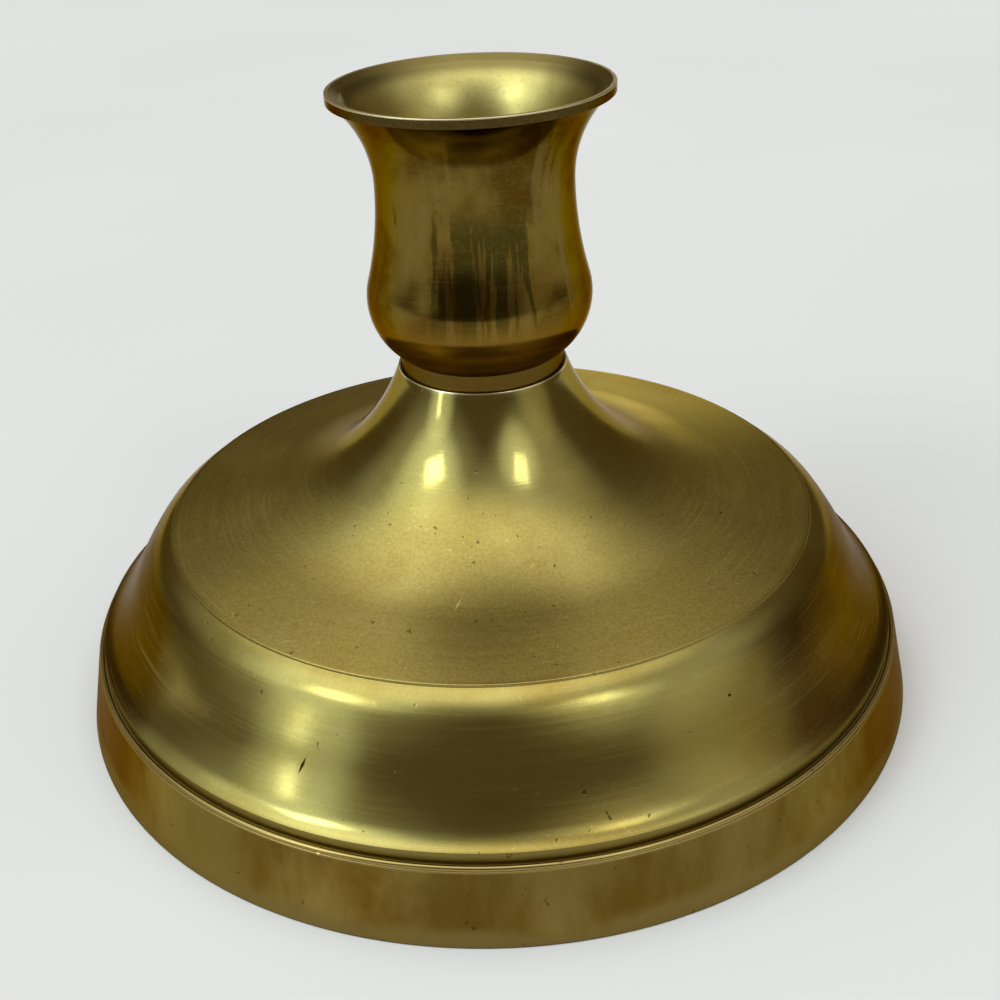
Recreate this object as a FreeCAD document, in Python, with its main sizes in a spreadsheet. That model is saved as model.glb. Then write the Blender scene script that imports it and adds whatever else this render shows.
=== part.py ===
import FreeCAD, Part
import math
import os
import re
import Sketcher

# Low turned brass candlestick: a broad hollow foot, a candle nozzle seated on its neck, and the
# threaded stud that joins them. Millimetres, +Z up, origin on the axis at the foot's underside.

# Every size that can be set by itself, as (name, value, meaning). A radius is from the axis. A
# width, spread, height or rise goes from one moulding to the next, so the mouldings stack.
SIZE_TABLE = [
    ("foot_radius", 70.0, "outer edge of the foot, where it stands"),
    ("foot_rim", 3.6, "width of the ring that the foot stands on"),
    ("foot_round", 0.8, "rounding of the standing ring's edges"),
    ("band_height", 11.4, "height of the plain foot band"),
    ("band_batter", 2.5, "how far the band leans in to its top edge"),
    ("band_wall", 3.9, "wall behind the top of the band"),
    ("band_land", 0.15, "flat between the band's top edge and the bead"),
    ("bead_width", 0.8, "small bead above the band"),
    ("bead_rise", 0.2, "upright side of the bead"),
    ("quirk_ledge", 0.25, "flat floor of the groove inside the bead"),
    ("quirk_drop", 1.95, "depth of that groove under the skirt's edge"),
    ("tip_width", 2.3, "spread of the skirt's turned-out edge"),
    ("tip_height", 1.85, "height of the turned-out edge"),
    ("flare_width", 3.7, "spread of the flare above it"),
    ("flare_height", 5.7, "height of the flare"),
    ("bulge_width", 4.0, "spread of the bulge above the flare"),
    ("bulge_height", 6.35, "height of the bulge"),
    ("roll_width", 3.3, "spread of the rolled shoulder above the bulge"),
    ("roll_height", 2.8, "height of the roll"),
    ("ring_ledge", 0.3, "floor of the step round the dished top"),
    ("ring_fall", 0.15, "how far that floor slopes down to the roll"),
    ("ring_step", 0.4, "height of the dished top's edge above the floor"),
    ("ring_round", 0.2, "wear on the edge of the dished top"),
    ("dish_rise", 2.13, "rise of the dished top from its edge to the neck's sweep"),
    ("sweep_width", 26.85, "spread of the neck's sweep"),
    ("sweep_height", 22.47, "height of the sweep"),
    ("wall", 3.2, "wall of the hollow foot under the dished top"),
    ("hollow_spread", 4.15, "how far the hollow's roof reaches out beyond the neck's rim"),
    ("hollow_rise", 9.57, "height of that roof over the foot of the sweep"),
    ("boss_radius", 10.5, "threaded boss inside the hollow"),
    ("boss_drop", 1.5, "how far the boss hangs below the hollow's roof"),
    ("boss_bevel", 0.8, "bevel round the boss's underside"),
    ("neck_lip", 0.35, "width of the neck's rim round the recess"),
    ("seat_depth", 1.0, "recess in the neck that locates the nozzle"),
    ("seat_gap", 0.15, "radial gap round the nozzle's collar in the recess"),
    ("collar_radius", 12.85, "collar at the nozzle's lower end"),
    ("collar_bevel", 0.25, "bevel on the collar's lower edge"),
    ("collar_show", 2.6, "height of the collar above the neck's rim"),
    ("belly_swell", 2.1, "how far the belly stands out beyond the waist"),
    ("belly_rise", 11.6, "height of the belly above the collar"),
    ("waist_wall", 3.75, "wall round the candle bore at the waist"),
    ("waist_rise", 15.0, "height of the waist's narrowest part above the belly"),
    ("lip_flare", 6.1, "how far the lip stands out beyond the waist"),
    ("lip_rise", 13.9, "height of the lip's top above the waist's narrowest part"),
    ("lip_band", 1.5, "upright edge of the lip"),
    ("lip_tuck", 0.9, "step back under the lip's edge"),
    ("lip_land", 0.6, "flat top of the lip"),
    ("lip_round", 0.25, "rounding of the lip's outer top edge"),
    ("rim_width", 1.5, "worn slope inside the lip"),
    ("rim_drop", 0.8, "depth of that slope"),
    ("bell_spread", 6.5, "how far the bell narrows from the mouth"),
    ("bell_drop", 8.6, "depth of the bell below the lip's top"),
    ("taper_drop", 9.6, "depth of the lead-in taper below the bell"),
    ("bore_radius", 11.25, "candle bore, for a 22 mm candle"),
    ("bore_round", 1.0, "rounding round the bore's floor"),
    ("cup_floor", 3.1, "floor between the candle bore and the stud's hole"),
    ("stud_radius", 4.0, "threaded stud, over its threads"),
    ("stud_clearance", 0.05, "radial clearance round the stud"),
    ("stud_reach", 9.0, "depth of the stud's hole in the nozzle"),
    ("stud_end_gap", 0.4, "gap over the stud in that hole"),
    ("stud_proud", 1.0, "stud below the boss"),
    ("stud_bevel", 0.6, "bevel on the stud's ends"),
    ("cut_overrun", 1.0, "how far a cutting outline runs past the surface"),
]
PARTS_FOLDER = "parts"
SAME_PLACE = 0.001

document = FreeCAD.newDocument("Candlestick")
sheet = document.addObject("Spreadsheet::Sheet", "Sizes")
for row, (name, value, meaning) in enumerate(SIZE_TABLE, start=1):
    sheet.set(f"A{row}", meaning)
    sheet.set(f"B{row}", str(value))
    sheet.setAlias(f"B{row}", name)
document.recompute()


def bound(text):
    """The expression that takes the named sizes in text from the sheet."""
    return re.sub(r"[a-z]+(?:_[a-z]+)*", lambda found: f"Sizes.{found.group(0)}", text)


def measure(text):
    """The present value of an expression in named sizes."""
    return float(sheet.evalExpression(bound(text)))


def origin_plane(body, role):
    """One of the body's own origin planes."""
    return next(item for item in body.Origin.OriginFeatures if item.Role == role)


def new_body(label):
    body = document.addObject("PartDesign::Body", label)
    body.Label = label
    return body


def new_sketch(body, name, role, height=None):
    """A sketch on an origin plane of the body, raised along the axis to a named height."""
    sketch = body.newObject("Sketcher::SketchObject", name)
    sketch.AttachmentSupport = (origin_plane(body, role), [""])
    sketch.MapMode = "FlatFace"
    if height:
        sketch.setExpression("AttachmentOffset.Base.z", bound(height))
    return sketch


def constrain(sketch, constraint, text=None):
    """Adds a constraint, and binds it to an expression in named sizes."""
    index = sketch.addConstraint(constraint)
    if text:
        sketch.setExpression(f"Constraints[{index}]", bound(text))


def place_point(sketch, geometry, end, radius, level):
    """Ties one end of a line or arc to its named radius and height."""
    for kind, text, axis in (("DistanceX", radius, -2), ("DistanceY", level, -1)):
        value = measure(text)
        if abs(value) < SAME_PLACE:
            constrain(sketch, Sketcher.Constraint("PointOnObject", geometry, end, axis))
        else:
            constrain(sketch, Sketcher.Constraint(kind, -1, 1, geometry, end, value), text)


def centre_on_level(start, finish, level):
    """Centre at a given height of the arc through two points."""
    rise = (finish[1] - level) ** 2 - (start[1] - level) ** 2
    run = finish[0] ** 2 - start[0] ** 2
    return (rise + run) / (2 * (finish[0] - start[0])), level


def centre_on_tangent(start, finish, heading):
    """Centre of the arc that leaves start along heading and meets finish."""
    chord = (finish[0] - start[0], finish[1] - start[1])
    across = chord[1] * heading[0] - chord[0] * heading[1]
    reach = (chord[0] ** 2 + chord[1] ** 2) / (2 * across)
    return start[0] - heading[1] * reach, start[1] + heading[0] * reach


def unit(start, finish):
    length = math.hypot(finish[0] - start[0], finish[1] - start[1])
    return (finish[0] - start[0]) / length, (finish[1] - start[1]) / length


def arc_about(centre, start, finish):
    """The arc from start to finish, whether it turns left, and the way it heads at its finish."""
    spoke_in = (start[0] - centre[0], start[1] - centre[1])
    spoke_out = (finish[0] - centre[0], finish[1] - centre[1])
    turns_left = spoke_in[0] * spoke_out[1] - spoke_in[1] * spoke_out[0] > SAME_PLACE
    circle = Part.Circle(FreeCAD.Vector(*centre, 0), FreeCAD.Vector(0, 0, 1), math.hypot(*spoke_in))
    angles = [math.atan2(spoke[1], spoke[0]) for spoke in (spoke_in, spoke_out)]
    if not turns_left:
        angles.reverse()
    if angles[1] < angles[0]:
        angles[1] += 2 * math.pi
    side = 1 if turns_left else -1
    heading = (-side * spoke_out[1] / circle.Radius, side * spoke_out[0] / circle.Radius)
    return Part.ArcOfCircle(circle, *angles), turns_left, heading


def half_section(body, name, outline):
    """Draws a closed outline of (radius, height, way) steps on the upright plane of the body.

    The way says how the outline goes on to the next step: line, an arc whose centre is on this
    step's height (level) or the next one's (level_after), or an arc tangent to what comes before
    or after it.
    """
    sketch = new_sketch(body, name, "XZ_Plane")
    points = [(measure(radius), measure(level)) for radius, level, _ in outline]
    links = []
    heading = None
    for step, (radius, level, way) in enumerate(outline):
        start = points[step]
        finish = points[(step + 1) % len(points)]
        after = points[(step + 2) % len(points)]
        if way == "line":
            heading = unit(start, finish)
            segment = Part.LineSegment(FreeCAD.Vector(*start, 0), FreeCAD.Vector(*finish, 0))
            ends = (1, 2)
        else:
            if way == "level":
                centre = centre_on_level(start, finish, measure(level))
            elif way == "level_after":
                centre = centre_on_level(start, finish, finish[1])
            elif way == "tangent_before":
                centre = centre_on_tangent(start, finish, heading)
            else:
                centre = centre_on_tangent(finish, start, unit(after, finish))
            segment, turns_left, heading = arc_about(centre, start, finish)
            ends = (1, 2) if turns_left else (2, 1)
        geometry = sketch.addGeometry(segment, False)
        place_point(sketch, geometry, ends[0], radius, level)
        links.append((geometry, ends, way))
    for step, (geometry, ends, way) in enumerate(links):
        before = links[step - 1]
        follower = links[(step + 1) % len(links)]
        smooth = way == "tangent_before" or before[2] == "tangent_after"
        kind = "Tangent" if smooth else "Coincident"
        constrain(sketch, Sketcher.Constraint(kind, before[0], before[1][1], geometry, ends[0]))
        if way == "level":
            constrain(sketch, Sketcher.Constraint("Horizontal", geometry, 3, geometry, ends[0]))
        elif way == "level_after":
            follower_start = (follower[0], follower[1][0])
            constrain(sketch, Sketcher.Constraint("Horizontal", geometry, 3, *follower_start))
    return sketch


def round_section(body, name, radius, height):
    """A circle about the axis, in a level sketch at a named height."""
    sketch = new_sketch(body, name, "XY_Plane", height)
    circle = Part.Circle(FreeCAD.Vector(), FreeCAD.Vector(0, 0, 1), measure(radius))
    geometry = sketch.addGeometry(circle, False)
    constrain(sketch, Sketcher.Constraint("Coincident", geometry, 3, -1, 1))
    constrain(sketch, Sketcher.Constraint("Radius", geometry, measure(radius)), radius)
    return sketch


def turn(body, name, kind, sketch):
    """Turns a half-section about the axis, as a solid or as a cut."""
    feature = body.newObject(f"PartDesign::{kind}", name)
    feature.Profile = sketch
    feature.ReferenceAxis = (sketch, ["V_Axis"])
    feature.Angle = 360
    document.recompute()
    return feature


def bore_out(body, name, sketch, depth=None, upward=False):
    """Cuts a round section down, or up, to a depth or right through, and checks that it cut."""
    volume = body.Shape.Volume
    feature = body.newObject("PartDesign::Pocket", name)
    feature.Profile = sketch
    feature.Reversed = upward
    if depth:
        feature.setExpression("Length", bound(depth))
    else:
        feature.Type = "ThroughAll"
    document.recompute()
    assert feature.Shape.Volume < volume, f"{name} cut nothing"
    return feature


def dress_edges(body, name, kind, size, circles):
    """Rounds or bevels the circular edges at the given (radius, height) places."""
    support = body.Tip
    wanted = [(measure(radius), measure(level)) for radius, level in circles]
    chosen = []
    for index, edge in enumerate(support.Shape.Edges, start=1):
        if not isinstance(edge.Curve, Part.Circle):
            continue
        place = (edge.Curve.Radius, edge.Curve.Center.z)
        if any(math.dist(place, goal) < SAME_PLACE for goal in wanted):
            chosen.append(f"Edge{index}")
    assert len(chosen) == len(circles), f"{name} found {len(chosen)} of {len(circles)} edges"
    feature = body.newObject(f"PartDesign::{kind}", name)
    feature.Base = (support, chosen)
    feature.setExpression("Radius" if kind == "Fillet" else "Size", bound(size))
    document.recompute()
    return feature


# Radii of the foot's mouldings, from the standing edge inwards.
BAND_RADIUS = "foot_radius - band_batter"
BEAD_END = f"{BAND_RADIUS} - band_land"
BEAD_START = f"{BEAD_END} - bead_width"
SKIRT_RADIUS = f"{BEAD_START} - quirk_ledge"
TIP_RADIUS = f"{SKIRT_RADIUS} - tip_width"
FLANK_RADIUS = f"{TIP_RADIUS} - flare_width"
SHOULDER_RADIUS = f"{FLANK_RADIUS} - bulge_width"
STEP_RADIUS = f"{SHOULDER_RADIUS} - roll_width"
RING_RADIUS = f"{STEP_RADIUS} - ring_ledge"

# Radii of the neck, from the collar outwards.
SEAT_RADIUS = "collar_radius + seat_gap"
NECK_RADIUS = f"{SEAT_RADIUS} + neck_lip"
HOLLOW_RADIUS = f"{NECK_RADIUS} + hollow_spread"
DISH_RADIUS = f"{NECK_RADIUS} + sweep_width"

# Heights of the foot, from the table upwards.
BEAD_HEIGHT = "band_height + bead_rise"
SKIRT_HEIGHT = f"{BEAD_HEIGHT} + quirk_drop"
TIP_HEIGHT = f"{SKIRT_HEIGHT} + tip_height"
FLANK_HEIGHT = f"{TIP_HEIGHT} + flare_height"
SHOULDER_HEIGHT = f"{FLANK_HEIGHT} + bulge_height"
STEP_FLOOR = f"{SHOULDER_HEIGHT} + roll_height"
RING_FOOT = f"{STEP_FLOOR} + ring_fall"
RING_HEIGHT = f"{RING_FOOT} + ring_step"
DISH_HEIGHT = f"{RING_HEIGHT} + dish_rise"
NECK_HEIGHT = f"{DISH_HEIGHT} + sweep_height"
HOLLOW_HEIGHT = f"{DISH_HEIGHT} + hollow_rise"
BOSS_HEIGHT = f"{HOLLOW_HEIGHT} - boss_drop"

# The nozzle, round the candle bore and up from its seat in the neck.
WAIST_RADIUS = "bore_radius + waist_wall"
BELLY_RADIUS = f"{WAIST_RADIUS} + belly_swell"
LIP_RADIUS = f"{WAIST_RADIUS} + lip_flare"
MOUTH_RADIUS = f"{LIP_RADIUS} - lip_land"
RIM_RADIUS = f"{MOUTH_RADIUS} - rim_width"
BELL_RADIUS = f"{MOUTH_RADIUS} - bell_spread"
SEAT_FLOOR = f"{NECK_HEIGHT} - seat_depth"
HOLE_TOP = f"{SEAT_FLOOR} + stud_reach"
BORE_FLOOR = f"{HOLE_TOP} + cup_floor"
COLLAR_HEIGHT = f"{NECK_HEIGHT} + collar_show"
BELLY_HEIGHT = f"{COLLAR_HEIGHT} + belly_rise"
WAIST_HEIGHT = f"{BELLY_HEIGHT} + waist_rise"
LIP_HEIGHT = f"{WAIST_HEIGHT} + lip_rise"
LIP_UNDERSIDE = f"{LIP_HEIGHT} - lip_band"
RIM_HEIGHT = f"{LIP_HEIGHT} - rim_drop"
BELL_HEIGHT = f"{LIP_HEIGHT} - bell_drop"
TAPER_HEIGHT = f"{BELL_HEIGHT} - taper_drop"
CUT_TOP = f"{LIP_HEIGHT} + cut_overrun"

# The stud, and the holes that it runs in.
HOLE_RADIUS = "stud_radius + stud_clearance"
STUD_BOTTOM = f"{BOSS_HEIGHT} - stud_proud"
STUD_TOP = f"{HOLE_TOP} - stud_end_gap"


def build_base():
    """The hollow foot: band, bead, skirt, rolled shoulder, dished top and neck in one casting."""
    body = new_body("base_casting")
    outside = [
        ("0", NECK_HEIGHT, "line"),
        (NECK_RADIUS, NECK_HEIGHT, "tangent_after"),
        (DISH_RADIUS, DISH_HEIGHT, "line"),
        (RING_RADIUS, RING_HEIGHT, "line"),
        (RING_RADIUS, RING_FOOT, "line"),
        (STEP_RADIUS, STEP_FLOOR, "tangent_before"),
        (SHOULDER_RADIUS, SHOULDER_HEIGHT, "tangent_before"),
        (FLANK_RADIUS, FLANK_HEIGHT, "tangent_before"),
        (TIP_RADIUS, TIP_HEIGHT, "tangent_before"),
        (SKIRT_RADIUS, SKIRT_HEIGHT, "line"),
        (SKIRT_RADIUS, BEAD_HEIGHT, "line"),
        (BEAD_START, BEAD_HEIGHT, "level"),
        (BEAD_END, BEAD_HEIGHT, "line"),
        (BEAD_END, "band_height", "line"),
        (BAND_RADIUS, "band_height", "line"),
        ("foot_radius", "0", "line"),
    ]
    inside = [
        ("foot_radius - foot_rim", "0", "line"),
        (f"{BAND_RADIUS} - band_wall", "band_height", "line"),
        (RING_RADIUS, f"{STEP_FLOOR} - wall", "line"),
        (DISH_RADIUS, f"{DISH_HEIGHT} - wall", "tangent_before"),
        (HOLLOW_RADIUS, HOLLOW_HEIGHT, "line"),
        ("boss_radius", HOLLOW_HEIGHT, "line"),
        ("boss_radius", BOSS_HEIGHT, "line"),
        ("0", BOSS_HEIGHT, "line"),
    ]
    section = half_section(body, "BaseSection", outside + inside)
    turn(body, "BaseTurned", "Revolution", section)
    seat = round_section(body, "SeatSection", SEAT_RADIUS, NECK_HEIGHT)
    bore_out(body, "Seat", seat, "seat_depth")
    hole = round_section(body, "BaseHoleSection", HOLE_RADIUS, NECK_HEIGHT)
    bore_out(body, "BaseHole", hole)
    dress_edges(body, "StandingEdges", "Fillet", "foot_round",
                [("foot_radius", "0"), ("foot_radius - foot_rim", "0")])
    dress_edges(body, "DishEdge", "Fillet", "ring_round", [(RING_RADIUS, RING_HEIGHT)])
    dress_edges(body, "BossBevel", "Chamfer", "boss_bevel", [("boss_radius", BOSS_HEIGHT)])
    return body


def build_nozzle():
    """The candle nozzle: collar, belly, waist and flared lip, with the candle bore inside."""
    body = new_body("nozzle")
    outside = [
        ("0", LIP_HEIGHT, "line"),
        (LIP_RADIUS, LIP_HEIGHT, "line"),
        (LIP_RADIUS, LIP_UNDERSIDE, "line"),
        (f"{LIP_RADIUS} - lip_tuck", LIP_UNDERSIDE, "level_after"),
        (WAIST_RADIUS, WAIST_HEIGHT, "level"),
        (BELLY_RADIUS, BELLY_HEIGHT, "tangent_before"),
        ("collar_radius", COLLAR_HEIGHT, "line"),
        ("collar_radius", SEAT_FLOOR, "line"),
        ("0", SEAT_FLOOR, "line"),
    ]
    section = half_section(body, "NozzleSection", outside)
    turn(body, "NozzleTurned", "Revolution", section)
    cup = [
        ("0", BORE_FLOOR, "line"),
        ("bore_radius", BORE_FLOOR, "line"),
        ("bore_radius", TAPER_HEIGHT, "line"),
        (BELL_RADIUS, BELL_HEIGHT, "tangent_before"),
        (RIM_RADIUS, RIM_HEIGHT, "line"),
        (MOUTH_RADIUS, LIP_HEIGHT, "line"),
        (MOUTH_RADIUS, CUT_TOP, "line"),
        ("0", CUT_TOP, "line"),
    ]
    turn(body, "Cup", "Groove", half_section(body, "CupSection", cup))
    hole = round_section(body, "NozzleHoleSection", HOLE_RADIUS, SEAT_FLOOR)
    bore_out(body, "NozzleHole", hole, "stud_reach", upward=True)
    dress_edges(body, "BoreFloorRound", "Fillet", "bore_round", [("bore_radius", BORE_FLOOR)])
    dress_edges(body, "LipRound", "Fillet", "lip_round", [(LIP_RADIUS, LIP_HEIGHT)])
    dress_edges(body, "CollarBevel", "Chamfer", "collar_bevel", [("collar_radius", SEAT_FLOOR)])
    return body


def build_stud():
    """The threaded stud that holds the nozzle on the foot, drawn over its threads."""
    body = new_body("stud")
    section = round_section(body, "StudSection", "stud_radius", STUD_BOTTOM)
    pad = body.newObject("PartDesign::Pad", "StudRod")
    pad.Profile = section
    pad.setExpression("Length", bound(f"{STUD_TOP} - ({STUD_BOTTOM})"))
    document.recompute()
    dress_edges(body, "StudBevels", "Chamfer", "stud_bevel",
                [("stud_radius", STUD_BOTTOM), ("stud_radius", STUD_TOP)])
    return body


def check_and_write(bodies):
    """Checks every object and solid, then writes one file for each piece."""
    document.recompute()
    for item in document.Objects:
        faults = {"Invalid", "Error"} & set(item.State)
        assert not faults, f"{item.Name} is {faults}"
    for body in bodies:
        assert not body.Shape.isNull() and body.Shape.isValid(), f"{body.Label} has no valid shape"
        assert len(body.Shape.Solids) == 1, f"{body.Label} is not one solid"
    os.makedirs(PARTS_FOLDER, exist_ok=True)
    for body in bodies:
        body.Shape.exportStep(os.path.join(PARTS_FOLDER, f"{body.Label}.step"))
        print(f"{body.Label}: {body.Shape.Volume:.0f} mm3")


check_and_write([build_base(), build_nozzle(), build_stud()])
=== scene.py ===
import math

import bpy
import bmesh
from mathutils import Matrix, Vector


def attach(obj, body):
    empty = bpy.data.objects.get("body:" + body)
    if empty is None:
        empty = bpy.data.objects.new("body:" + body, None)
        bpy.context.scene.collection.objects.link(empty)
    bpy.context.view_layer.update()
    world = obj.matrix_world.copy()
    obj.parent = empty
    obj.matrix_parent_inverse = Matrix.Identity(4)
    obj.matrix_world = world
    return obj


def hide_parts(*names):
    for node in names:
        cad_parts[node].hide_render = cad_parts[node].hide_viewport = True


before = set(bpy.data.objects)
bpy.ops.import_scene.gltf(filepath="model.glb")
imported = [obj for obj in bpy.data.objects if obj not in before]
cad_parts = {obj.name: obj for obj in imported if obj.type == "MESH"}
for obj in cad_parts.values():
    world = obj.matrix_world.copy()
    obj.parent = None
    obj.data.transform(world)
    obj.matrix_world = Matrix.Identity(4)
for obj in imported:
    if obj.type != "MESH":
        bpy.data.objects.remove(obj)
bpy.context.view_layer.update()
MM = 0.001

scene = bpy.context.scene
scene.view_settings.view_transform = "Standard"


def placed(name, data):
    """A new object of the data, in the scene."""
    thing = bpy.data.objects.new(name, data)
    scene.collection.objects.link(thing)
    return thing


def shaped(name, mesh, materials):
    """A new object of a finished bmesh, with its materials."""
    data = bpy.data.meshes.new(name)
    mesh.to_mesh(data)
    mesh.free()
    for material in materials:
        data.materials.append(material)
    return placed(name, data)


# Camera: in front of the foot and above it, looking down and a little rolled, as in the photograph.

CAMERA_PLACE = Vector((0.0, -0.1976, 0.1416))
PITCH, YAW, ROLL = (math.radians(angle) for angle in (29.10, -0.74, -2.98))
FOCAL_SHARE = 1.3469
SENSOR = 36.0
SHIFT_ACROSS, SHIFT_UP = 0.0266, -0.0107
NEAREST = 0.01


def make_camera():
    ahead = Vector((math.sin(YAW) * math.cos(PITCH), math.cos(YAW) * math.cos(PITCH),
                    -math.sin(PITCH)))
    level = ahead.cross(Vector((0, 0, 1))).normalized()
    above = level.cross(ahead)
    side = math.cos(ROLL) * level + math.sin(ROLL) * above
    top = math.cos(ROLL) * above - math.sin(ROLL) * level
    data = bpy.data.cameras.new("camera")
    data.sensor_width = SENSOR
    data.lens = FOCAL_SHARE * SENSOR
    data.shift_x = SHIFT_ACROSS
    data.shift_y = SHIFT_UP
    data.clip_start = NEAREST
    camera = placed("camera", data)
    turned = Matrix((side, top, -ahead)).transposed().to_4x4()
    camera.matrix_world = Matrix.Translation(CAMERA_PLACE) @ turned
    scene.camera = camera


# Node trees. These outputs are taken by their number.

GENERATED, OBJECT_PLACE = 0, 3
PLAIN_VALUE = 1
MIXED_COLOUR = 2
BACKFACING = 6


def rgb(red, green, blue):
    return (red, green, blue, 1.0)


class Tree:
    """The nodes of a material or of the world. Each call adds nodes and returns an output."""

    def __init__(self, owner):
        owner.use_nodes = True
        self.owner = owner
        self.nodes = owner.node_tree.nodes
        self.links = owner.node_tree.links
        self.nodes.clear()

    def add(self, kind, out=0, fields=None, **sockets):
        """A socket goes by its name, with _ for a space, or by its number after an i."""
        node = self.nodes.new("ShaderNode" + kind)
        for key, value in (fields or {}).items():
            setattr(node, key, value)
        for key, value in sockets.items():
            numbered = key[0] == "i" and key[1:].isdigit()
            self.plug(node.inputs[int(key[1:]) if numbered else key.replace("_", " ")], value)
        return node.outputs[out]

    def plug(self, socket, value):
        if isinstance(value, bpy.types.NodeSocket):
            self.links.new(value, socket)
        else:
            socket.default_value = value

    def end(self, kind, shader):
        """Joins the shader to the output and gives back the owner."""
        self.plug(self.nodes.new("ShaderNodeOutput" + kind).inputs["Surface"], shader)
        return self.owner

    def work(self, operation, *values, clamp=False):
        sockets = {f"i{index}": value for index, value in enumerate(values)}
        return self.add("Math", fields={"operation": operation, "use_clamp": clamp}, **sockets)

    def plus(self, first, *others):
        for other in others:
            first = self.work("ADD", first, other)
        return first

    def minus(self, first, second):
        return self.work("SUBTRACT", first, second)

    def times(self, first, second):
        return self.work("MULTIPLY", first, second)

    def most(self, first, second):
        return self.work("MAXIMUM", first, second)

    def vector(self, operation, *values, out=0, **sockets):
        sockets.update({f"i{index}": value for index, value in enumerate(values)})
        return self.add("VectorMath", out, {"operation": operation}, **sockets)

    def span(self, value, low, high, to_low=0.0, to_high=1.0):
        """Fades smoothly from to_low, at low, to to_high, at high."""
        return self.add("MapRange", fields={"interpolation_type": "SMOOTHSTEP"}, Value=value,
                        From_Min=low, From_Max=high, To_Min=to_low, To_Max=to_high)

    def mix(self, share, first, second, blend="MIX"):
        return self.add("Mix", MIXED_COLOUR, {"data_type": "RGBA", "blend_type": blend},
                        i0=share, i6=first, i7=second)

    def noise(self, vector, scale, detail, rough=0.55, warp=0.0):
        return self.add("TexNoise", Vector=vector, Scale=scale, Detail=detail, Roughness=rough,
                        Distortion=warp)


ON_AXIS = 0.0001
PATCH_SCALE, PATCH_PULL, FLECK_SOFT = 48.0, 0.25, 0.035
MARK_SHORTEST, MARK_SWELL, MARK_SOFT = 1e-5, 1.6, (-0.00004, 0.00005)
WHITE = rgb(1, 1, 1)


class Turned(Tree):
    """A turned metal: places on it are told by radius, height and the way round."""

    def __init__(self, name):
        super().__init__(bpy.data.materials.new(name))
        self.place = self.add("TexCoord", OBJECT_PLACE)
        split = self.nodes.new("ShaderNodeSeparateXYZ")
        self.plug(split.inputs[0], self.place)
        self.x, self.y, self.z = split.outputs
        squares = self.plus(self.times(self.x, self.x), self.times(self.y, self.y))
        self.radius = self.work("SQRT", squares)
        self.cosine = self.work("DIVIDE", self.x, self.most(self.radius, ON_AXIS))
        self.sine = self.work("DIVIDE", self.y, self.most(self.radius, ON_AXIS))
        self.across = self.work("ABSOLUTE", self.cosine)

    def rings(self, along, across):
        """Fine marks that run round the axis: long along the turn and close across it."""
        vector = self.add("CombineXYZ", X=self.times(self.cosine, along),
                          Y=self.times(self.sine, along), Z=self.times(self.z, across))
        return self.add("TexNoise", fields={"noise_dimensions": "4D"}, Vector=vector,
                        W=self.times(self.radius, across), Scale=1.0, Detail=3.0, Roughness=0.6)

    def specks(self, scale, rare):
        """Irregular small flecks, thicker in some patches than in others."""
        fleck = self.noise(self.place, scale, 2.0, rough=0.7)
        patch = self.noise(self.place, PATCH_SCALE, 3.0)
        level = self.plus(fleck, self.times(self.minus(patch, 0.5), PATCH_PULL))
        return self.span(level, rare, rare + FLECK_SOFT)

    def mark(self, first, last, half):
        """A dot or a short scratch between two places, thinner towards its ends."""
        run = [(b - a) * MM for a, b in zip(first, last)]
        length = max(math.sqrt(sum(part * part for part in run)), MARK_SHORTEST)
        along = [part / length for part in run]
        middle = [(a + b) / 2 * MM for a, b in zip(first, last)]
        offset = self.vector("SUBTRACT", self.place, middle)
        dot = self.vector("DOT_PRODUCT", offset, along, out=PLAIN_VALUE)
        beside = self.vector("SUBTRACT", offset, self.vector("SCALE", along, Scale=dot))
        away = self.vector("LENGTH", beside, out=PLAIN_VALUE)
        past = self.work("DIVIDE", self.work("ABSOLUTE", dot), length / 2 + half * MM)
        room = self.times(self.work("SUBTRACT", 1.0, past, clamp=True), half * MM * MARK_SWELL)
        return self.times(self.span(self.minus(away, room), *MARK_SOFT, 1.0, 0.0),
                          self.work("LESS_THAN", past, 1.0))

    def marks(self, places):
        """One in any of the marks: (first end, last end, half width), in millimetres."""
        found = 0.0
        for first, last, half in places:
            found = self.most(found, self.mark(first, last, half))
        return found

    def finish(self, colour, rough, height, depth, edge=WHITE):
        """The metal, with a bump of the depth in metres and a tone for its grazing edges."""
        normal = self.add("Bump", Strength=1.0, Distance=depth, Height=height)
        shader = self.add("BsdfPrincipled", Base_Color=colour, Metallic=1.0, Roughness=rough,
                          Normal=normal, Specular_Tint=edge)
        return self.end("Material", shader)


# foot_brass: its tones, and where one surface fades into the next, in metres from the axis (ACROSS)
# or above the floor (UP).

OLIVE, OLIVE_DARK = rgb(0.378, 0.318, 0.096), rgb(0.305, 0.235, 0.058)
DISH_BROWN, DISH_RIM_DARKER = rgb(0.345, 0.272, 0.070), rgb(0.250, 0.180, 0.038)
SIDE_PAINTED_REFLECTION, BLUSH = rgb(0.108, 0.060, 0.013), rgb(0.250, 0.130, 0.020)
TURNING_LINE = rgb(0.50, 0.44, 0.18)
GRAIN_PALE, GRAIN_DARK = rgb(0.46, 0.38, 0.13), rgb(0.19, 0.13, 0.03)
FLECK_PALE, FLECK_DARK = rgb(0.58, 0.50, 0.20), rgb(0.05, 0.028, 0.006)
GROOVE_DARKER = rgb(0.220, 0.170, 0.045)
BEAD_RUBBED, RIM_RUBBED = rgb(0.350, 0.260, 0.090), rgb(0.900, 0.800, 0.520)
BAND_BROWN, BAND_PALE = rgb(0.160, 0.080, 0.006), rgb(0.300, 0.212, 0.057)
BAND_SMUDGE, BAND_SIDE_REFLECTION = rgb(0.110, 0.076, 0.014), rgb(0.165, 0.066, 0.006)
BAND_RUBBED = rgb(0.230, 0.165, 0.048)
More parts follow.
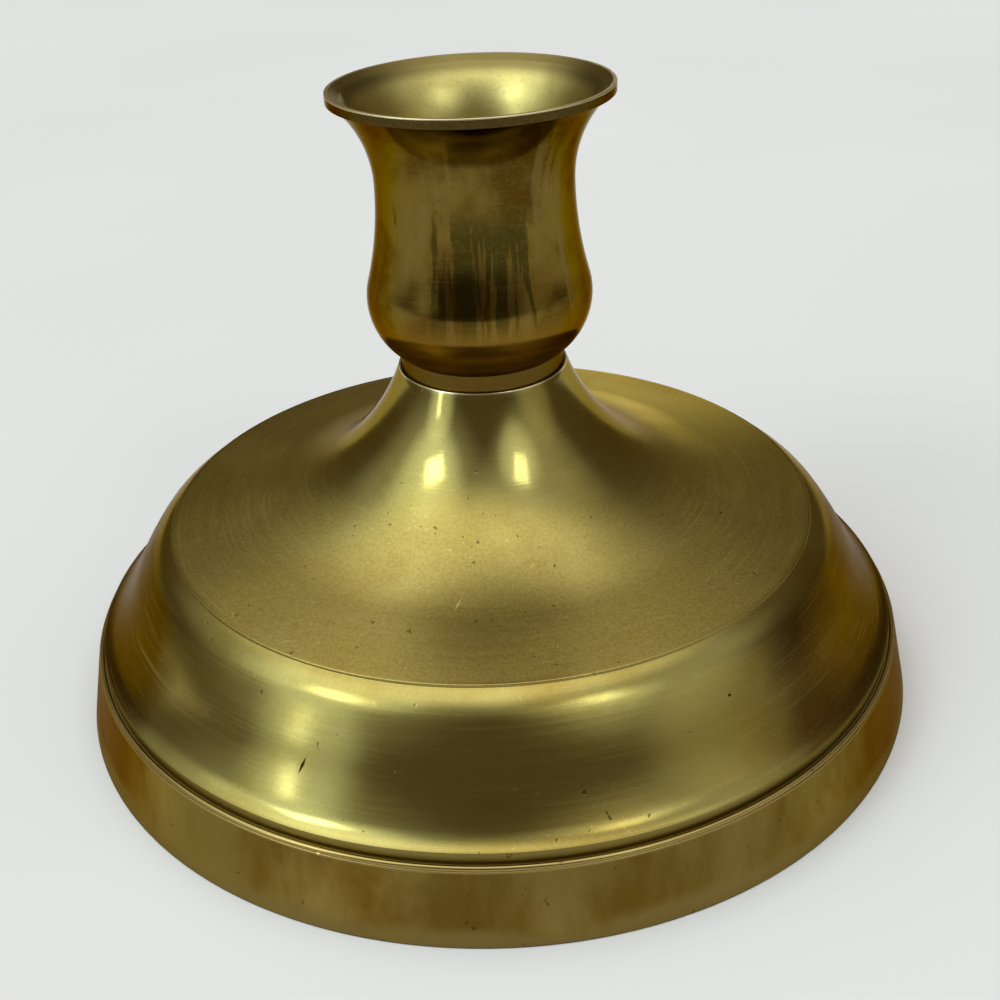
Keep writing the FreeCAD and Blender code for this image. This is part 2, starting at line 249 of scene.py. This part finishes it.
SCORE_DARK, SCRATCH_PALE = rgb(0.045, 0.026, 0.006), rgb(0.62, 0.55, 0.30)
FOOT_EDGE = rgb(0.62, 0.50, 0.36)

NECK_TO_DISH_ACROSS, DISH_TO_SKIRT_ACROSS = (0.019, 0.032), (0.0515, 0.0535)
RIM_DARKER_ACROSS = (0.034, 0.050)
STEEP_UP, RIM_UP = (0.0300, 0.0270), (0.0551, 0.0553)
GROOVE_UP, GROOVE_ACROSS = (0.0138, 0.0134), (0.0668, 0.0666)
BEAD_UP, BEAD_ACROSS = (0.0124, 0.0119), (0.0663, 0.0665)
BAND_UP, BAND_RUBBED_UP = (0.0115, 0.0110), (0.0036, 0.0012)
FINE_BUMP = 0.000010

SCORED = [((-26.6, -54.1, 21.0), (-27.8, -54.9, 18.9), 0.13),
          ((31.9, -48.9, 24.4), (32.2, -48.7, 24.3), 0.16),
          ((-13.7, -58.4, 21.8), (-13.5, -58.4, 21.7), 0.08)]
SCRATCHED = [((-4.6, -36.0, 33.8), (-5.8, -38.6, 33.2), 0.08),
             ((-14.3, -58.3, 21.4), (-14.2, -58.4, 21.2), 0.14),
             ((-25.0, -62.3, 11.6), (-25.3, -62.5, 11.0), 0.20)]


def foot_brass():
    t = Turned("foot_brass")
    cloud = t.noise(t.place, 55.0, 6.0)
    smudge = t.noise(t.place, 16.0, 3.0, warp=0.6)
    grain = t.noise(t.place, 2100.0, 3.0)
    rings = t.rings(3.0, 2600.0)

    # Olive brass, browner on the dished top and darker towards its rim.
    dish = t.span(t.radius, *NECK_TO_DISH_ACROSS)
    skirt = t.span(t.radius, *DISH_TO_SKIRT_ACROSS)
    top = t.minus(dish, skirt)
    colour = t.mix(t.span(cloud, 0.35, 0.68), OLIVE, OLIVE_DARK)
    colour = t.mix(t.times(top, t.span(cloud, 0.35, 0.60, 0.25, 0.75)), colour, DISH_BROWN)
    colour = t.mix(t.times(top, t.span(t.radius, *RIM_DARKER_ACROSS, 0.0, 0.28)), colour, DISH_RIM_DARKER)

    # The steep sides are painted browner at the left and the right, with a wandering border: a
    # painted reflection of warm, dark surroundings at the sides of the view.
    side = t.plus(t.across, t.times(t.minus(smudge, 0.5), 0.7))
    painted_side_reflection = t.times(t.span(side, 0.66, 0.82), t.span(t.z, *STEEP_UP))
    colour = t.mix(painted_side_reflection, colour, SIDE_PAINTED_REFLECTION)
    colour = t.mix(t.times(t.span(smudge, 0.55, 0.68), 0.35), colour, BLUSH)

    # Fine lines of turning and grain, then flecks, most of them on the dished top.
    colour = t.mix(t.span(rings, 0.52, 0.75, 0.0, 0.22), colour, TURNING_LINE)
    colour = t.mix(t.times(t.span(grain, 0.42, 0.68), t.span(top, 0, 1, 0.08, 0.26)), colour,
                   GRAIN_PALE)
    colour = t.mix(t.times(t.span(grain, 0.50, 0.36), t.span(top, 0, 1, 0.06, 0.20)), colour,
                   GRAIN_DARK)
    pale = t.specks(1300.0, 0.68)
    dark = t.specks(700.0, 0.72)
    colour = t.mix(t.times(pale, t.span(top, 0, 1, 0.18, 0.40)), colour, FLECK_PALE)

    # The groove is darker, and the bead and the neck's rim are rubbed bright.
    groove = t.times(t.span(t.z, *GROOVE_UP), t.span(t.radius, *GROOVE_ACROSS))
    bead = t.times(t.span(t.z, *BEAD_UP), t.span(t.radius, *BEAD_ACROSS))
    colour = t.mix(t.times(groove, 0.8), colour, GROOVE_DARKER)
    colour = t.mix(bead, colour, BEAD_RUBBED)
    colour = t.mix(t.span(t.z, *RIM_UP), colour, RIM_RUBBED)

    # The band below the bead is dull and cloudy, and worn paler along its lower edge. Its brown is
    # partly tarnish and partly a painted reflection of a brown table, and it is painted darker at the
    # middle and at the left and the right of the view.
    band = t.span(t.z, *BAND_UP)
    smear = t.add("CombineXYZ", X=t.x, Y=t.y, Z=t.times(t.z, 0.45))
    mottle = t.noise(smear, 58.0, 7.0, rough=0.62, warp=0.2)
    # Painted reflection: the mottle is darker at the middle of the view, paler to either side of it,
    # and darker again at the left and the right.
    mottle = t.plus(mottle, t.span(t.across, 0.10, 0.42, -0.06, 0.04),
                    t.span(t.across, 0.66, 0.86, 0.0, -0.12))
    band_tarnish_and_reflection = t.mix(t.span(mottle, 0.34, 0.64), BAND_BROWN, BAND_PALE)
    band_tarnish_and_reflection = t.mix(t.span(smudge, 0.42, 0.60, 0.0, 0.40), band_tarnish_and_reflection, BAND_SMUDGE)
    # Painted reflection: browner still at the left and the right.
    band_tarnish_and_reflection = t.mix(t.span(t.across, 0.72, 0.88, 0.0, 0.7), band_tarnish_and_reflection, BAND_SIDE_REFLECTION)
    edge = t.plus(t.z, t.times(t.minus(cloud, 0.5), 0.006))
    band_tarnish_and_reflection = t.mix(t.span(edge, *BAND_RUBBED_UP, 0.0, 0.8), band_tarnish_and_reflection, BAND_RUBBED)
    colour = t.mix(band, colour, band_tarnish_and_reflection)
    colour = t.mix(t.times(dark, 0.6), colour, FLECK_DARK)

    # Scratches, dots and a nick in the bead.
    scored = t.marks(SCORED)
    colour = t.mix(scored, colour, SCORE_DARK)
    colour = t.mix(t.times(t.marks(SCRATCHED), 0.8), colour, SCRATCH_PALE)

    # Polished neck and skirt, a duller dished top, and dull sides, band and groove.
    rough = t.plus(0.13, t.times(dish, 0.22), t.times(skirt, -0.17),
                   t.span(cloud, 0.3, 0.7, -0.03, 0.05), t.span(rings, 0.35, 0.65, -0.015, 0.015),
                   t.times(painted_side_reflection, 0.12), t.times(band, 0.20), t.times(groove, 0.15))
    height = t.plus(t.times(rings, 0.40), t.times(grain, t.span(top, 0, 1, 0.15, 0.40)))
    height = t.minus(height, t.times(t.most(dark, scored), 1.5))
    return t.finish(colour, rough, height, FINE_BUMP, FOOT_EDGE)


INSIDE_DARK, INSIDE_PALE = rgb(0.115, 0.078, 0.022), rgb(0.180, 0.130, 0.045)
INSIDE_GRIME = rgb(0.060, 0.038, 0.012)
CAST_BUMP = 0.00006


def foot_inside():
    t = Turned("foot_inside")
    cloud = t.noise(t.place, 80.0, 7.0)
    grain = t.noise(t.place, 900.0, 5.0)
    rings = t.rings(2.0, 1500.0)
    colour = t.mix(t.span(cloud, 0.38, 0.62), INSIDE_DARK, INSIDE_PALE)
    colour = t.mix(t.span(grain, 0.5, 0.75, 0.0, 0.5), colour, INSIDE_GRIME)
    height = t.plus(t.times(rings, 0.6), grain)
    return t.finish(colour, t.span(cloud, 0.3, 0.7, 0.45, 0.62), height, CAST_BUMP)


NOZZLE_BROWN, NOZZLE_PALE = rgb(0.088, 0.045, 0.005), rgb(0.190, 0.124, 0.023)
NOZZLE_REFLECTION_STREAK, TARNISH_AND_DARK_REFLECTION = rgb(0.200, 0.140, 0.045), rgb(0.050, 0.040, 0.006)
BELLY_WARM_REFLECTION, COLLAR_BROWN = rgb(0.250, 0.130, 0.014), rgb(0.150, 0.088, 0.016)
LIP_BROWN = rgb(0.070, 0.046, 0.012)
NOZZLE_LINE, NOZZLE_GRAIN = rgb(0.22, 0.155, 0.04), rgb(0.26, 0.19, 0.05)
NOZZLE_FLECK = rgb(0.04, 0.022, 0.005)
NOZZLE_EDGE = rgb(0.50, 0.38, 0.20)

DARK_PATCH_TOP_UP, DARK_PATCH_FOOT_UP = (0.0860, 0.0800), (0.0640, 0.0680)
UNDER_BELLY_UP, ABOVE_COLLAR_UP = (0.0700, 0.0625), (0.0578, 0.0582)
COLLAR_UP, LIP_UP = (0.0582, 0.0578), (0.0966, 0.0970)
DULL_FOOT_UP = (0.0640, 0.0600)


def nozzle_brass():
    t = Turned("nozzle_brass")
    cloud = t.noise(t.place, 70.0, 6.0, warp=0.4)
    grain = t.noise(t.place, 1500.0, 3.0)
    rings = t.rings(3.0, 3200.0)
    upright = t.add("CombineXYZ", X=t.times(t.cosine, 4.6), Y=t.times(t.sine, 4.6),
                    Z=t.times(t.z, 30.0))
    streak = t.noise(upright, 1.0, 6.0, rough=0.62, warp=0.3)
    # The brown is partly tarnish and partly a painted reflection of a brown table, darkened to
    # outweigh the pale floor's reflection.
    colour = t.mix(t.span(cloud, 0.38, 0.60), NOZZLE_BROWN, NOZZLE_PALE)
    # Lighter upright streaks: painted reflections of window strips.
    colour = t.mix(t.span(streak, 0.54, 0.62, 0.0, 0.5), colour, NOZZLE_REFLECTION_STREAK)

    # Dark green tarnish in upright patches with hard sides, low on the front and the back. It is kept
    # to the front and the back as a painted dark reflection, and the sides are spared.
    away = t.span(t.across, 0.38, 0.62, -0.05, 0.10)
    low = t.times(t.span(t.z, *DARK_PATCH_TOP_UP), t.span(t.z, *DARK_PATCH_FOOT_UP))
    tarnish_and_dark_reflection = t.times(t.span(t.plus(streak, away), 0.49, 0.46), low)
    colour = t.mix(t.times(tarnish_and_dark_reflection, 0.85), colour, TARNISH_AND_DARK_REFLECTION)

    # A painted warm reflection under the belly, then the collar and the lip's edge.
    under = t.times(t.span(t.z, *UNDER_BELLY_UP), t.span(t.z, *ABOVE_COLLAR_UP))
    colour = t.mix(t.times(under, 0.85), colour, BELLY_WARM_REFLECTION)
    colour = t.mix(t.span(t.z, *COLLAR_UP), colour, COLLAR_BROWN)
    colour = t.mix(t.span(t.z, *LIP_UP), colour, LIP_BROWN)

    colour = t.mix(t.span(rings, 0.5, 0.75, 0.0, 0.25), colour, NOZZLE_LINE)
    colour = t.mix(t.span(grain, 0.45, 0.75, 0.0, 0.12), colour, NOZZLE_GRAIN)
    colour = t.mix(t.times(t.specks(800.0, 0.71), 0.6), colour, NOZZLE_FLECK)
    rough = t.plus(t.span(cloud, 0.3, 0.7, 0.13, 0.20), t.span(rings, 0.3, 0.7, -0.02, 0.02),
                   t.span(t.z, *DULL_FOOT_UP, 0.0, 0.22))
    height = t.plus(t.times(rings, 0.35), t.times(grain, 0.25))
    return t.finish(colour, rough, height, FINE_BUMP, NOZZLE_EDGE)


CUP_PALE, CUP_OLIVE = rgb(0.560, 0.480, 0.165), rgb(0.450, 0.365, 0.110)
CUP_SLOPE_SHADE, LIP_RUBBED = rgb(0.150, 0.120, 0.042), rgb(0.700, 0.600, 0.360)
CUP_DEEP, CUP_GRAIN = rgb(0.150, 0.105, 0.030), rgb(0.20, 0.15, 0.045)
CUP_EDGE = rgb(0.75, 0.66, 0.50)

SLOPE_START_ACROSS, SLOPE_END_ACROSS = (0.0168, 0.0185), (0.0206, 0.0204)
LIP_ACROSS = (0.0204, 0.0206)
DEEP_UP = (0.0890, 0.0780)
CUP_BUMP = 0.000012


def cup_brass():
    t = Turned("cup_brass")
    cloud = t.noise(t.place, 90.0, 6.0, warp=0.3)
    grain = t.noise(t.place, 1600.0, 3.0)
    rings = t.rings(2.5, 2400.0)
    # The cup's brass is paler than the nozzle's outside: partly its own tone, and partly painted
    # light standing in for the light that fills the cup.
    colour = t.mix(t.span(cloud, 0.35, 0.65), CUP_PALE, CUP_OLIVE)
    # Painted shade: the slope just inside the rim is darker.
    slope = t.times(t.span(t.radius, *SLOPE_START_ACROSS), t.span(t.radius, *SLOPE_END_ACROSS))
    colour = t.mix(t.times(slope, 0.85), colour, CUP_SLOPE_SHADE)
    colour = t.mix(t.span(t.radius, *LIP_ACROSS), colour, LIP_RUBBED)
    deep = t.span(t.z, *DEEP_UP)
    colour = t.mix(t.times(deep, 0.7), colour, CUP_DEEP)
    colour = t.mix(t.span(grain, 0.5, 0.75, 0.0, 0.25), colour, CUP_GRAIN)
    rough = t.plus(t.span(cloud, 0.3, 0.7, 0.31, 0.38), t.times(deep, 0.12))
    height = t.plus(t.times(rings, 0.3), t.times(grain, 0.4))
    return t.finish(colour, rough, height, CUP_BUMP, CUP_EDGE)


STEEL_PALE, STEEL_DARK = rgb(0.20, 0.19, 0.175), rgb(0.11, 0.095, 0.08)


def stud_steel():
    t = Turned("stud_steel")
    cloud = t.noise(t.place, 400.0, 5.0)
    grain = t.noise(t.place, 2500.0, 3.0)
    colour = t.mix(t.span(cloud, 0.4, 0.65), STEEL_PALE, STEEL_DARK)
    return t.finish(colour, t.span(cloud, 0.3, 0.7, 0.34, 0.5), grain, FINE_BUMP)


FLOOR_DARK, FLOOR_PALE = rgb(0.76, 0.76, 0.755), rgb(0.79, 0.79, 0.785)


def plain_floor():
    """Plain and pale from above, and open to a look from below."""
    t = Tree(bpy.data.materials.new("floor"))
    place = t.add("TexCoord", OBJECT_PLACE)
    colour = t.mix(t.span(t.noise(place, 4.0, 2.0), 0.3, 0.7), FLOOR_DARK, FLOOR_PALE)
    shader = t.add("BsdfPrincipled", Base_Color=colour, Roughness=0.9, Specular_IOR_Level=0.1)
    return t.end("Material", t.add("MixShader", i0=t.add("NewGeometry", BACKFACING), i1=shader,
                                   i2=t.add("BsdfTransparent")))


# Stud: a threaded piece, in metres.

STUD_BOTTOM, STUD_TOP = 0.0400, 0.0630
STUD_RADIUS, THREAD_DEPTH, THREAD_PITCH = 0.0040, 0.00077, 0.00125
CREST_FLAT, FLANK = 0.12, 0.76
STUD_BEVEL = 0.0006
WAY_ROUND = 56
ROWS_A_TURN = 14
SHARP = math.radians(50)


def thread_radius(turn, height):
    """Radius of the stud's surface: a sharp-rooted thread that fades into the bevelled ends."""
    phase = (height - STUD_BOTTOM) / THREAD_PITCH - turn
    phase -= math.floor(phase)
    crest = abs(2 * phase - 1)
    cut = min(1.0, max(0.0, (crest - CREST_FLAT) / FLANK))
    radius = STUD_RADIUS - THREAD_DEPTH * cut
    end = min(height - STUD_BOTTOM, STUD_TOP - height)
    return min(radius, STUD_RADIUS - max(0.0, STUD_BEVEL - end))


def make_stud():
    rows = round((STUD_TOP - STUD_BOTTOM) / THREAD_PITCH * ROWS_A_TURN)
    mesh = bmesh.new()
    rings = []
    for row in range(rows + 1):
        height = STUD_BOTTOM + (STUD_TOP - STUD_BOTTOM) * row / rows
        ring = []
        for step in range(WAY_ROUND):
            turn = step / WAY_ROUND
            radius = thread_radius(turn, height)
            angle = 2 * math.pi * turn
            ring.append(mesh.verts.new((radius * math.cos(angle), radius * math.sin(angle),
                                        height)))
        rings.append(ring)
    for low, high in zip(rings, rings[1:]):
        for step in range(WAY_ROUND):
            after = (step + 1) % WAY_ROUND
            mesh.faces.new((low[step], low[after], high[after], high[step]))
    mesh.faces.new(reversed(rings[0]))
    mesh.faces.new(rings[-1])
    piece = shaped("stud_thread", mesh, [stud_steel()])
    piece.data.shade_smooth()
    piece.data.set_sharp_from_angle(angle=SHARP)
    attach(piece, "stud")
    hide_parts("stud")


# Turned outlines, in millimetres: (radius, height, way, rounding). The way says how the outline goes
# on to the next step: LINE, an arc that starts or ends at a stated heading, one that goes ON as the
# last one ended, or one that runs INTO the line after it. The rounding is of the corner at the step.

LINE, ON, INTO = "line", "on", "into"
WORN = 0.10

BASE_OUTSIDE = [
    (4.05, 54.4, LINE, 0.05), (13.0, 54.4, LINE, 0.05), (13.0, 55.4, LINE, WORN),
    (13.35, 55.4, INTO, WORN), (40.2, 32.93, LINE, 0), (52.7, 30.8, LINE, 0.2),
    (52.7, 30.4, LINE, 0.05), (53.0, 30.25, ON, 0), (56.3, 27.45, ON, 0), (60.3, 21.1, ON, 0),
    (64.0, 15.4, ON, 0), (66.3, 13.55, LINE, 0.15), (66.3, 11.6, LINE, 0.05),
    (66.55, 11.6, ("from", 90), 0.03), (67.35, 11.6, LINE, 0), (67.35, 11.4, LINE, 0.03),
    (67.5, 11.4, LINE, WORN), (70.0, 0.0, LINE, 0.8),
]
BASE_INSIDE = [
    (66.4, 0.0, LINE, 0.8), (63.6, 11.4, LINE, 0), (52.7, 27.05, LINE, 0.8), (40.2, 29.73, ON, 0),
    (17.5, 42.5, LINE, 0.5), (10.5, 42.5, LINE, 0.4), (10.5, 41.0, LINE, 0.8),
    (4.05, 41.0, LINE, 0.2),
]
CUP = [
    (0.0, 66.5, LINE, 0), (11.25, 66.5, LINE, 1.0), (11.25, 80.3, LINE, 0), (14.0, 89.9, ON, 0),
    (19.0, 97.7, LINE, 0.3), (20.5, 98.5, LINE, WORN), (21.1, 98.5, LINE, 0.25),
]
NOZZLE = [
    (21.1, 97.0, LINE, 0.2), (20.2, 97.0, ("to", -90), WORN), (15.0, 84.6, ("from", -90), 0),
    (17.1, 69.6, ON, 0), (12.85, 58.0, LINE, WORN), (12.85, 54.4, LINE, 0.25),
    (4.05, 54.4, LINE, 0.1), (4.05, 63.4, LINE, 0.1), (0.0, 63.4, LINE, 0),
]

# A line a little above the hollow's own surface, as (radius, height): what is under it is inside.
HOLLOW_ROOF = [(0.0, 42.9), (17.6, 42.9), (40.2, 30.3), (52.9, 27.5), (64.0, 11.6), (68.0, 0.6),
               (90.0, 0.6)]
BORE_FLOOR_LOW, BORE_FLOOR_HIGH, BORE_EDGE = 66.0, 67.0, 11.3
LIP_TOP_LOW = 98.0

ARC_TURN, ARC_STEP = math.radians(4), 1.0
LINE_STEP, LINE_SHORT, END_STRIP = 4.0, 0.6, 0.2
SOFTEST_CORNER = math.radians(6)
CORNER_ROOM, CORNER_LEAST = 0.45, 0.2
CORNER_SHARES = (0, 0.25, 0.5, 0.75, 1)
AROUND = 320
TINY = 1e-6


def chord(start, finish):
    return math.atan2(finish[1] - start[1], finish[0] - start[0])


def arc(start, finish, heading):
    """Points of the arc that leaves start at a heading and meets finish, and its last heading."""
    half = chord(start, finish) - heading
    half = math.atan2(math.sin(half), math.cos(half))
    reach = math.dist(start, finish) / (2 * math.sin(half))
    count = max(3, math.ceil(abs(2 * half) / ARC_TURN), math.ceil(abs(2 * half * reach) / ARC_STEP))
    points = []
    for step in range(count):
        now = heading + 2 * half * step / count
        points.append((start[0] + reach * (math.sin(now) - math.sin(heading)),
                       start[1] - reach * (math.cos(now) - math.cos(heading))))
    return points, heading + 2 * half


def straight(start, finish):
    """Points of a line, with one close to each end so that its shading stays flat."""
    length = math.dist(start, finish)
    shares = {0.0}
    if length > LINE_SHORT:
        shares |= {END_STRIP / length, 1 - END_STRIP / length}
    pieces = math.ceil(length / LINE_STEP)
    shares |= {piece / pieces for piece in range(1, pieces)}
    return [tuple(a + (b - a) * share for a, b in zip(start, finish)) for share in sorted(shares)]


def follow(steps, closed):
    """The polyline of an outline, as (point, rounding), going round to its first step if closed."""
    path = []
    heading = 0.0
    for index, (radius, height, way, rounding) in enumerate(steps if closed else steps[:-1]):
        start = (radius, height)
        finish = steps[(index + 1) % len(steps)][:2]
        after = steps[(index + 2) % len(steps)][:2]
        if way == LINE:
            points, heading = straight(start, finish), chord(start, finish)
        elif way == ON:
            points, heading = arc(start, finish, heading)
        else:
            if way == INTO:
                leave = 2 * chord(start, finish) - chord(finish, after)
            elif way[0] == "to":
                leave = 2 * chord(start, finish) - math.radians(way[1])
            else:
                leave = math.radians(way[1])
            points, heading = arc(start, finish, leave)
        path += [(point, rounding if number == 0 else 0) for number, point in enumerate(points)]
    return path if closed else path + [(steps[-1][:2], 0)]


def soften(path, closed):
    """The polyline with its named corners rounded, each within its own two neighbours."""
    points = []
    for index, (point, rounding) in enumerate(path):
        before, after = path[index - 1][0], path[(index + 1) % len(path)][0]
        bend = chord(point, after) - chord(before, point)
        bend = abs(math.atan2(math.sin(bend), math.cos(bend)))
        at_end = not closed and index in (0, len(path) - 1)
        if rounding == 0 or bend < SOFTEST_CORNER or at_end:
            points.append(point)
            continue
        room = min(math.dist(before, point), math.dist(point, after)) * CORNER_ROOM
        cut = min(rounding * math.tan(bend / 2), max(room, min(CORNER_LEAST, room * 2)))
        first = tuple(p + (b - p) * cut / math.dist(before, point) for p, b in zip(point, before))
        last = tuple(p + (a - p) * cut / math.dist(point, after) for p, a in zip(point, after))
        for share in CORNER_SHARES:
            points.append(tuple((1 - share) ** 2 * f + 2 * share * (1 - share) * p + share ** 2 * l
                                for f, p, l in zip(first, point, last)))
    return points


def lathe(name, points, closed, materials, choose):
    """Turns a polyline about the axis. choose(radius, height, rise) tells a face's material."""
    mesh = bmesh.new()
    rings = []
    for radius, height in points:
        count = AROUND if radius > TINY else 1
        turns = [2 * math.pi * step / count for step in range(count)]
        rings.append([mesh.verts.new((radius * MM * math.cos(turn), radius * MM * math.sin(turn),
                                      height * MM)) for turn in turns])
    steps = list(zip(points, points[1:] + points[:1], rings, rings[1:] + rings[:1]))
    for before, after, here, there in steps if closed else steps[:-1]:
        index = choose((before[0] + after[0]) / 2, (before[1] + after[1]) / 2, after[1] - before[1])
        for step in range(AROUND):
            beyond = (step + 1) % AROUND
            corners = [here[step % len(here)], here[beyond % len(here)],
                       there[beyond % len(there)], there[step % len(there)]]
            mesh.faces.new(list(dict.fromkeys(corners))).material_index = index
    bmesh.ops.recalc_face_normals(mesh, faces=mesh.faces)
    piece = shaped(name, mesh, materials)
    piece.data.shade_smooth()
    return piece


def make_base():
    outline = soften(follow(BASE_OUTSIDE + BASE_INSIDE, True), True)

    def hidden(radius, height, _):
        """One under the roof of the hollow, and none on the outside."""
        for (near, high), (far, low) in zip(HOLLOW_ROOF, HOLLOW_ROOF[1:]):
            if near <= radius <= far:
                return int(height < high + (low - high) * (radius - near) / (far - near))
        return 0

    piece = lathe("base_turned", outline, True, [foot_brass(), foot_inside()], hidden)
    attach(piece, "foot")
    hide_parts("base_casting")


def make_nozzle():
    outline = soften(follow(CUP + NOZZLE, False), False)

    def inside(radius, height, rise):
        """One in the cup and on top of the lip, and none on the outside."""
        bore_floor = height < BORE_FLOOR_HIGH and radius < BORE_EDGE
        cup = BORE_FLOOR_LOW < height and (rise > TINY or bore_floor)
        return int(height > LIP_TOP_LOW or cup)

    piece = lathe("nozzle_turned", outline, False, [nozzle_brass(), cup_brass()], inside)
    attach(piece, "nozzle")
    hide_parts("nozzle")


# Stage: floor, soft surroundings and soft lights.

FLOOR_REACH, FLOOR_HEIGHT = 4.0, -0.00005


def make_floor():
    mesh = bmesh.new()
    mesh.faces.new([mesh.verts.new((x * FLOOR_REACH, y * FLOOR_REACH, FLOOR_HEIGHT))
                    for x, y in ((-1, -1), (1, -1), (1, 1), (-1, 1))])
    floor = shaped("floor", mesh, [plain_floor()])


def toward(azimuth, elevation):
    """A way out from the object. Azimuth 0 is the camera's side, and + is to the right."""
    turn, rise = math.radians(azimuth), math.radians(elevation)
    return Vector((math.sin(turn) * math.cos(rise), -math.cos(turn) * math.cos(rise),
                   math.sin(rise)))


# The soft surroundings: azimuth, elevation, where the glow ends and where it is full, in degrees from
# its middle, and its colour. Daylight comes from two windows and the ceiling between them.

DIM = (0.148, 0.118, 0.078)
GLOWS = [
    (-78, 54, 54, 8, (0.46, 0.54, 0.58)), (-66, 46, 29, 5, (1.00, 1.22, 1.38)),
    (-56, 16, 19, 4, (0.74, 0.90, 0.98)), (58, 54, 45, 8, (0.50, 0.55, 0.57)),
    (35, 42, 20, 4, (0.64, 0.72, 0.78)), (63, 10, 27, 5, (0.30, 0.29, 0.22)),
    (-150, 80, 45, 14, (1.34, 1.30, 1.26)),
]


def make_world():
    scene.world = bpy.data.worlds.new("surroundings")
    t = Tree(scene.world)
    way = t.add("TexCoord", GENERATED)
    colour = rgb(*DIM)
    for azimuth, elevation, outer, inner, tone in GLOWS:
        facing = t.vector("DOT_PRODUCT", way, toward(azimuth, elevation), out=PLAIN_VALUE)
        share = t.span(facing, math.cos(math.radians(outer)), math.cos(math.radians(inner)))
        colour = t.mix(share, colour, rgb(*tone), blend="ADD")
    t.end("World", t.add("Background", Color=colour))


# Lamps: name, azimuth, elevation, width and height in metres, and power in watts.

AIM = Vector((0, 0, 0.04))
LAMP_DISTANCE = 1.8
COOL = (0.90, 1.0, 1.04)
LAMPS = [
    ("window_left_low", -58, 16, 0.13, 0.28, 0.40), ("window_left_high", -58, 43, 0.42, 0.34, 2.10),
    ("window_right", 37, 47, 0.30, 0.40, 1.00), ("window_back", 169, 4, 0.50, 0.24, 1.60),
]


def soft_light(name, azimuth, elevation, width, height, power):
    """An area light that faces the object and isn't seen by the camera."""
    data = bpy.data.lights.new(name, "AREA")
    data.shape = "RECTANGLE"
    data.size = width
    data.size_y = height
    data.energy = power
    data.color = COOL
    light = placed(name, data)
    way = toward(azimuth, elevation)
    light.location = AIM + way * LAMP_DISTANCE
    light.rotation_euler = (-way).to_track_quat("-Z", "Y").to_euler()
    light.visible_camera = False


make_camera()
make_base()
make_nozzle()
make_stud()
make_floor()
make_world()
for lamp in LAMPS:
    soft_light(*lamp)
